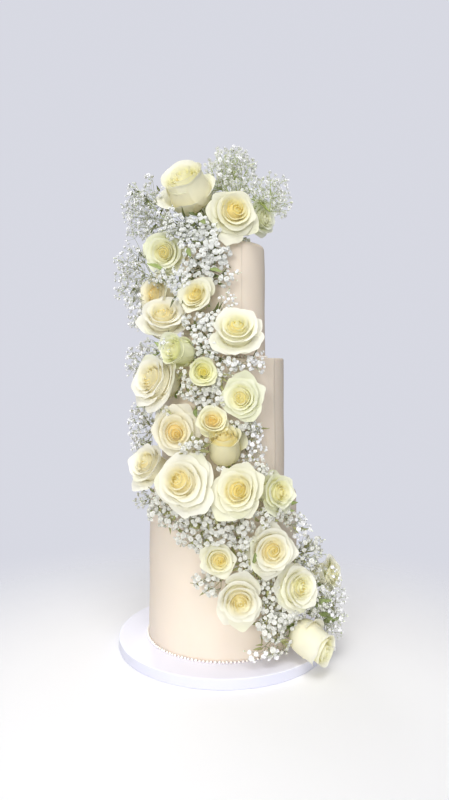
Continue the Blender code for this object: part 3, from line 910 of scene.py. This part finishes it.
# number, angle, distance, height, half sizes (across, out, up), florets, root (dx, dy, dz from the centre, in
# half sizes), floret radius, looseness
SPRAYS = (
    (1, 150, 14, 577, 42, 27, 38, 190, (-0.3, 0, -1.1), 3.1, 0.6),
    (2, 100, 52, 547, 29, 36, 34, 140, (-0.9, 0, -0.7), 3.1, 0.7),
    (3, -84, 98, 524, 27, 28, 38, 150, (1.1, -1.3, -0.5), 3.1, 0.7),
    (4, -82, 112, 449, 22, 23, 44, 100, (1.2, -1.2, -0.2), 3.0, 0.9),
    (5, -76, 102, 401, 18, 16, 26, 70, (1.1, -1.4, 0.1), 3.1, 0.5),
    (6, -70, 102, 338, 20, 20, 24, 80, (1.1, -0.6, 0.1), 3.0, 0.5),
    (7, -70, 103, 262, 18, 16, 36, 95, (1.1, -0.9, 0.1), 3.0, 0.5),
    (8, -20, 67, 453, 31, 14, 43, 120, (0, -1.0, 0), 3.4, 0.25),
    (9, -21, 77, 377, 20, 14, 28, 66, (0, -1.0, 0), 3.3, 0.25),
    (10, -13, 90, 303, 22, 14, 22, 64, (0, -1.0, 0), 3.3, 0.2),
    (11, 21, 90, 249, 17, 12, 28, 70, (-0.5, -1.0, 0), 2.8, 0.5),
    (12, 24, 103, 222, 12, 11, 11, 24, (0, -1.0, 0), 2.8, 0.3),
    (13, -27, 109, 177, 34, 14, 17, 80, (0, -0.9, 0.6), 3.1, 0.3),
    (14, -1, 104, 157, 42, 14, 22, 92, (0, -0.9, 0.6), 3.5, 0.25),
    (15, -6, 106, 106, 20, 11, 14, 46, (0.8, -0.6, 0.3), 3.2, 0.3),
    (16, 52, 118, 116, 20, 22, 34, 130, (-0.5, -0.8, 0.2), 2.8, 0.4),
    (17, 64, 139, 57, 22, 18, 36, 120, (-0.8, -0.6, 0.2), 2.7, 0.5),
    (18, 31, 115, 49, 30, 16, 28, 80, (0, -0.9, 0.5), 3.4, 0.25),
    (19, 44, 112, 170, 12, 10, 11, 24, (0, -0.9, 0.2), 2.7, 0.4),
    (20, -34, 60, 497, 30, 18, 18, 75, (0, -0.8, 0.4), 3.0, 0.25),
    (21, 215, 46, 548, 32, 24, 36, 150, (0, -0.6, -0.9), 2.7, 0.5),
    (22, 150, 6, 507, 44, 40, 24, 120, (0, 0, -0.9), 2.7, 0.3),
    # small knots between the roses
    (31, -52, 88, 437, 24, 12, 13, 45, (0.3, -1.0, 0), 2.7, 0.4),
    (32, 4, 68, 441, 13, 6, 12, 12, (-1.2, -0.4, -0.3), 2.0, 1.0),
    (33, 5, 70, 408, 13, 6, 14, 14, (-1.2, -0.4, -0.8), 2.0, 1.0),
    (34, -2, 92, 341, 20, 10, 13, 34, (-0.4, -1.0, 0.2), 2.8, 0.4),
    (35, 24, 88, 345, 12, 9, 9, 16, (-0.8, -1.0, 0.4), 2.6, 0.5),
    (36, -17, 112, 250, 15, 8, 10, 20, (0, -1.0, 0), 2.9, 0.3),
    (37, 5, 105, 228, 16, 7, 8, 14, (0, -1.0, 0), 2.9, 0.3),
    (38, -40, 101, 355, 16, 10, 12, 24, (0, -1.0, 0), 2.7, 0.4),
    (39, 14, 110, 122, 12, 9, 18, 34, (0, -1.0, 0), 3.0, 0.2),
    (40, 34, 118, 70, 22, 12, 14, 40, (0, -1.0, 0), 3.0, 0.2),
    (41, 23, 112, 29, 19, 8, 8, 24, (0.6, -0.6, 1.2), 2.9, 0.5),
    (42, -44, 108, 288, 20, 9, 9, 24, (0, -1.0, 0), 2.7, 0.4),
    (43, -50, 76, 500, 20, 14, 20, 50, (0.5, -1.0, 0), 2.9, 0.4),
    (44, -36, 84, 428, 12, 10, 18, 26, (0, -1.0, 0), 2.9, 0.3),
    (45, -8, 78, 392, 10, 9, 10, 20, (0, -1.0, 0), 2.9, 0.3),
    (46, -12, 84, 357, 15, 9, 8, 26, (0, -1.0, 0), 2.9, 0.2),
    (47, 17, 92, 337, 20, 9, 9, 34, (-0.6, -1.0, 0), 2.7, 0.6),
    (48, -4, 95, 326, 13, 9, 12, 26, (0, -1.0, 0), 2.9, 0.2),
    (49, 54, 130, 80, 14, 14, 18, 50, (-0.6, -0.8, 0), 2.8, 0.4),
    (50, 46, 118, 160, 12, 12, 13, 26, (-0.6, -0.8, 0), 2.8, 0.5),
    (51, 27, 112, 174, 22, 9, 12, 44, (0, -1.0, 0), 2.9, 0.2),
    (52, 14, 108, 140, 8, 8, 20, 24, (0, -1.0, 0), 2.9, 0.2),
    (53, 25, 113, 94, 13, 9, 24, 56, (0, -1.0, 0), 2.9, 0.2),
    (54, 62, 137, 96, 10, 12, 16, 30, (-0.8, -0.6, 0), 2.8, 0.5),
    (58, -24, 107, 155, 12, 8, 9, 24, (0, -1.0, 0), 2.9, 0.3),
    (59, -60, 106, 183, 12, 10, 14, 38, (0.8, -0.6, 0.3), 2.9, 0.4),
    (60, -85, 112, 544, 13, 12, 13, 34, (1.8, -3.5, -2.6), 3.0, 0.8),
    (61, -59, 96, 363, 12, 9, 10, 26, (0.6, -1.0, 0), 2.8, 0.4),
    (62, -26, 96, 322, 9, 8, 22, 46, (0, -1.0, 0), 2.9, 0.2),
    (63, 11, 94, 272, 20, 9, 8, 40, (0, -1.0, 0), 2.8, 0.2),
    (64, -10, 102, 245, 8, 7, 16, 30, (0, -1.0, 0), 2.9, 0.2),
    (65, -8, 109, 180, 9, 7, 9, 24, (0, -1.0, 0), 3.0, 0.2),
    (67, -42, 112, 188, 10, 8, 12, 32, (0, -1.0, 0), 3.0, 0.3),
    (68, 50, 122, 66, 14, 12, 13, 50, (-0.6, -0.8, 0.2), 2.8, 0.3),
    (55, 126, 92, 548, 14, 12, 14, 34, (-0.6, -5.2, -3.0), 3.0, 0.8),
    (56, -62, 60, 575, 10, 10, 12, 18, (0, -0.6, -1.0), 2.6, 0.6),
    (57, 118, 12, 588, 34, 20, 20, 60, (-0.3, 0, -1.1), 3.1, 0.6),
)


def spray(number, angle, distance, height, across, outwards, up, count, root, fr, loose, flor, stems):
    rnd = np.random.default_rng(500 + number)
    centre = at(angle, distance, height)
    a = math.radians(angle)
    ex, ey, ez = np.array([math.cos(a), math.sin(a), 0]), np.array([math.sin(a), -math.cos(a), 0]), np.array([0, 0, 1.0])
    size = np.array([across, outwards, up]) * MM
    E = np.stack([ex, ey, ez])
    R0 = centre + (np.array(root) * size) @ E
    fr = fr * MM
    # places for the knots of florets: through the bundle, more of them towards its outside, some past it
    d = unit(rnd.normal(size=(count * 10, 3)))
    rad = rnd.random(count * 10) ** (0.5 - 0.12 * loose)
    lump = 1 + 0.16 * np.sin(3 * np.arctan2(d[:, 1], d[:, 0]) + number) * np.cos(4 * d[:, 2] + number) + 0.08 * rnd.normal(size=count * 10)
    p = centre + (d * (rad * lump)[:, None] * (size - fr)) @ E
    p = p[clear(p, 0.002)]
    lo, hi = CAD_BOX
    knots = []
    gap = fr * (2.9 + 1.1 * loose)
    for q in p:
        if len(knots) >= count / (5.2 - 1.8 * loose):
            break
        if knots and ((np.asarray(knots) - q) ** 2).sum(1).min() < gap * gap:
            continue
        knots.append(q)
    if not knots:
        return 0
    C = np.array(knots)
    away = unit(unit(C - R0) + 0.7 * ey + 0.12 * rnd.normal(size=C.shape))
    N1 = C - away * fr * (1.0 + 1.6 * loose)
    P, lab1, axis, scale = [], [], [], []
    for k in range(len(C)):
        n = rnd.integers(3, 7) if loose < 0.4 else rnd.integers(2, 5)
        Bk = basis(away[k], rnd.uniform(0, TAU))
        for j in range(n + 1):
            r = 0.0 if j == 0 else rnd.uniform(0.75, 1.15)
            th = TAU * j / n + rnd.uniform(-0.3, 0.3)
            dirn = Bk @ unit(np.array([r * math.cos(th), r * math.sin(th), rnd.uniform(0.75, 1.25)]))
            q = N1[k] + dirn * fr * (2.0 + 1.5 * loose + rnd.uniform(-0.25, 0.55))
            if P and ((np.asarray(P) - q) ** 2).sum(1).min() < (1.45 * fr) ** 2:
                continue
            if not clear(q[None], 0.0005)[0] or q[0] < lo[0] - 0.002 or q[0] > hi[0] + 0.002 or q[2] > hi[2] + 0.009:
                continue
            P.append(q)
            lab1.append(k)
            axis.append(unit(dirn + 0.35 * ey + 0.2 * rnd.normal(size=3)))
            scale.append(fr * rnd.uniform(0.78, 1.12))
    P, lab1, axis, scale = np.array(P), np.array(lab1), np.array(axis), np.array(scale)
    # forks: knots hang on branches and branches on the root
    lab2, c2 = groups(N1, max(1, len(N1) // 5), rnd)
    N2 = c2 + (R0 - c2) * (0.45 - 0.1 * loose) + rnd.normal(0, 0.002, c2.shape)
    airy = loose >= 0.5
    # painted shade: the green stems are tinted dark olive in the dense knots high on the cake, for the shade between
    # the florets; elsewhere they are tinted lighter, the loose fans' lightest
    green = (lin(166, 178, 104) if height > 530 else lin(150, 154, 124)) if airy else lin(118, 126, 74) if height > 340 else lin(148, 150, 98)
    pale = (lin(206, 214, 168) if height > 530 else lin(188, 192, 168)) if airy else lin(174, 180, 136)

    def bend(p, q, k):
        mid = (p + q) / 2
        return mid + rnd.normal(0, 1, mid.shape) * np.linalg.norm(q - p, axis=1, keepdims=True) * k

    foot = P - axis * (scale * 0.6)[:, None]
    tubes(stems, N1[lab1], bend(N1[lab1], foot, 0.10), foot, np.full(len(P), 0.0002), np.full(len(P), 0.00016), 3, 4, pale, 0)
    tubes(stems, N2[lab2], bend(N2[lab2], N1, 0.08), N1, np.full(len(N1), 0.00034), np.full(len(N1), 0.00022), 4, 5, green, 0)
    tubes(stems, np.repeat(R0[None], len(N2), 0), bend(np.repeat(R0[None], len(N2), 0), N2, 0.08), N2, np.full(len(N2), 0.00065), np.full(len(N2), 0.0004), 5, 6, green, 0)
    kinds = rnd.choice(len(OPEN), len(P))
    # painted light and shade: the same white florets are tinted brightest in the loose fans, duller in the dense knots
    # and dullest in the knots low on the cake
    white = lin(251, 251, 252) if airy else lin(236, 237, 234) if height > 340 else lin(231, 231, 225)
    for i in range(len(P)):
        V, T, CT = OPEN[kinds[i]]
        Bm = basis(axis[i], rnd.uniform(0, TAU))
        W = V * scale[i] @ Bm.T + P[i]
        col = np.tile(white * rnd.uniform(0.96, 1.0), (len(V), 1))
        col[len(V) - 7 :] = lin(186, 200, 142)
        flor.add(W, tris=np.concatenate([T, CT]), colour=col)
    # buds on short stalks
    nb = int(len(P) * (0.2 + 0.3 * loose))
    src = rnd.choice(len(N1), nb)
    bp_ = N1[src] + unit(rnd.normal(size=(nb, 3)) + 0.9 * ey + 0.9 * unit(N1[src] - R0)) * rnd.uniform(0.006, 0.013, (nb, 1))
    ok = clear(bp_)
    src, bp_ = src[ok], bp_[ok]
    if len(bp_):
        tubes(stems, N1[src], bend(N1[src], bp_, 0.1), bp_, np.full(len(bp_), 0.00024), np.full(len(bp_), 0.0002), 3, 4, pale, 0)
        for q, s0 in zip(bp_, src):
            r = rnd.uniform(0.0007, 0.0013)
            ax = unit(q - N1[s0])
            W = (BUD_V * np.array([0.8, 0.8, 1.15]) * r) @ basis(ax).T + q
            c = np.where(BUD_V[:, 2:3] > -0.2, lin(242, 245, 232), lin(184, 198, 140))
            flor.add(W, tris=BUD_T, quads=BUD_Q, colour=c)
    return len(P)


def leaf(soup, foot, along, face, length, width, colour, rnd):
    """A pointed oval leaf from its foot, folded a little along its midrib and bent back at its tip."""
    y = unit(along)
    z = unit(face - (face @ y) * y)
    x = np.cross(y, z)
    t = np.linspace(0, 1, 8)[:, None]
    a = np.linspace(-1, 1, 5)[None, :]
    w = width / 2 * np.sin(math.pi * t**0.8) ** 0.8 * (1 - 0.25 * t)
    fold = rnd.uniform(0.10, 0.35)
    bent = rnd.uniform(-0.1, 0.45)
    px = a * w
    pz = fold * np.abs(a) * w - bent * length * t**2 + 0.03 * length * np.sin(9 * t + 3 * a)
    py = length * t + 0 * a
    P = foot + px[..., None] * x + py[..., None] * y + pz[..., None] * z
    mid = np.exp(-((a / 0.25) ** 2)) * 0.16
    col = colour[None, None] * (0.92 + mid + 0.05 * t)[..., None]
    sheet(soup, P, col, mat=0)


LEAVES = Soup()
leaf_rng = np.random.default_rng(77)


def leaves_in(number, angle, distance, height, across, outwards, up, count, root, fr, loose):
    """A few leaves deep in a bundle, behind its flowers."""
    rnd = np.random.default_rng(900 + number)
    centre = at(angle, distance, height)
    a = math.radians(angle)
    E = np.array([[math.cos(a), math.sin(a), 0], [math.sin(a), -math.cos(a), 0], [0, 0, 1.0]])
    size = np.array([across, outwards, up]) * MM
    n = int(count / (3.0 if loose < 0.28 else 6 if loose < 0.35 else 14)) + 1
    # painted shade: leaves deep in the bundles high on the cake are tinted dark olive for the shade between the
    # florets; those low on the cake are a lighter green
    body = lin(110, 118, 70) if height > 340 else lin(168, 168, 116)
    for _ in range(n):
        d = rnd.uniform(-0.6, 0.6, 3)
        d[1] = rnd.uniform(-0.9, -0.2)
        foot = centre + (d * size) @ E
        along = unit(np.array([d[0] + rnd.normal(0, 0.5), 0.5, d[2] + rnd.normal(0, 0.5)])) @ E
        L = rnd.uniform(11, 18) * MM
        tipp = (foot + along * L * 0.8)[None]
        if not clear(tipp, 0.0)[0] or tipp[0, 2] < 0.006:
            continue
        tone = rnd.uniform(0.8, 1.15)
        leaf(LEAVES, foot, along, E[1] + 0.4 * rnd.normal(size=3), L, L * rnd.uniform(0.2, 0.32), body * tone, rnd)


SETS = (
    ("top", (1, 2, 21, 22, 55, 57)),
    ("left", (3, 4, 5, 6, 7, 43, 44, 60, 61)),
    ("centre", (8, 20, 9, 10, 11, 12, 31, 32, 33, 34, 35, 36, 37, 38, 42, 45, 46, 47, 48, 62, 63)),
    ("foot", (13, 14, 15, 16, 17, 18, 19, 39, 40, 41, 49, 50, 51, 52, 53, 54, 58, 59, 64, 65, 67, 68)),
)
by_number = {row[0]: row for row in SPRAYS}
total = 0
for tag, numbers in SETS:
    flor, stems = Soup(), Soup()
    for k in numbers:
        total += spray(*by_number[k], flor, stems)
        if k not in (1, 2, 12, 19, 32, 33, 41, 47, 55, 57):
            leaves_in(*by_number[k])
    a = flor.mesh("florets_" + tag, [M_FLORET])
    b = stems.mesh("stems_" + tag, [M_GREEN])
    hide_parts(*[f"gypsophila_{k:02d}" for k in numbers if k < 30])
    for o in (a, b):
        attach(o, "root")
# leaves that show round the roses: angle, distance, height, azimuth and elevation it points, length, width, greenness
for angle, distance, height, az, el, length, width, g in (
    (-25, 78, 506, -25, 10, 17, 8, 1.0), (-18, 80, 500, 20, -25, 15, 7, 0.9), (-30, 80, 470, 10, -35, 20, 7, 1.0),
    (-52, 84, 447, -70, 15, 24, 10, 1.3), (-60, 86, 438, -60, 30, 20, 9, 1.4), (-12, 74, 446, 60, -10, 16, 6, 1.0),
    (-40, 96, 355, -80, 30, 18, 7, 1.2),
    (-47, 98, 352, -100, -20, 16, 6, 1.2), (-12, 98, 318, -20, 40, 14, 6, 0.8), (-18, 100, 290, 10, -30, 16, 6, 0.8),
    (30, 100, 186, 65, 14, 26, 9, 1.2), (34, 102, 180, 80, -6, 22, 8, 1.1), (38, 104, 184, 95, 10, 20, 8, 1.3),
    (52, 124, 70, 78, 20, 24, 9, 0.9), (56, 128, 60, 86, -10, 22, 8, 0.85), (60, 130, 48, 92, 10, 22, 8, 0.9),
    (16, 118, 128, 10, 60, 16, 6, 1.0), 
    (62, 120, 84, 80, 40, 20, 8, 0.9), (-58, 104, 236, -90, -10, 18, 7, 1.1), (-60, 100, 290, -95, 10, 16, 6, 1.1),
    (200, 50, 510, 190, -25, 22, 9, 1.1),
    (230, 46, 520, 230, -20, 22, 9, 1.1), (-95, 70, 500, -100, -25, 22, 9, 1.0), (-100, 84, 430, -110, -10, 22, 9, 1.1),
):
    leaf(LEAVES, at(angle, distance, height), looking(az, el), looking(angle, 30), length * MM, width * MM, lin(146, 160, 100) * g, leaf_rng)
ob = LEAVES.mesh("leaves", [M_GREEN])
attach(ob, "root")
print("florets", total)

tri = 0
for o in bpy.data.objects:
    if o.type == "MESH" and o.name not in frame["nodes"] and o.name != "stage":
        n = sum(len(p.vertices) - 2 for p in o.data.polygons)
        tri += n
        if n > 60000:
            print(o.name, n)
print("triangles", tri)
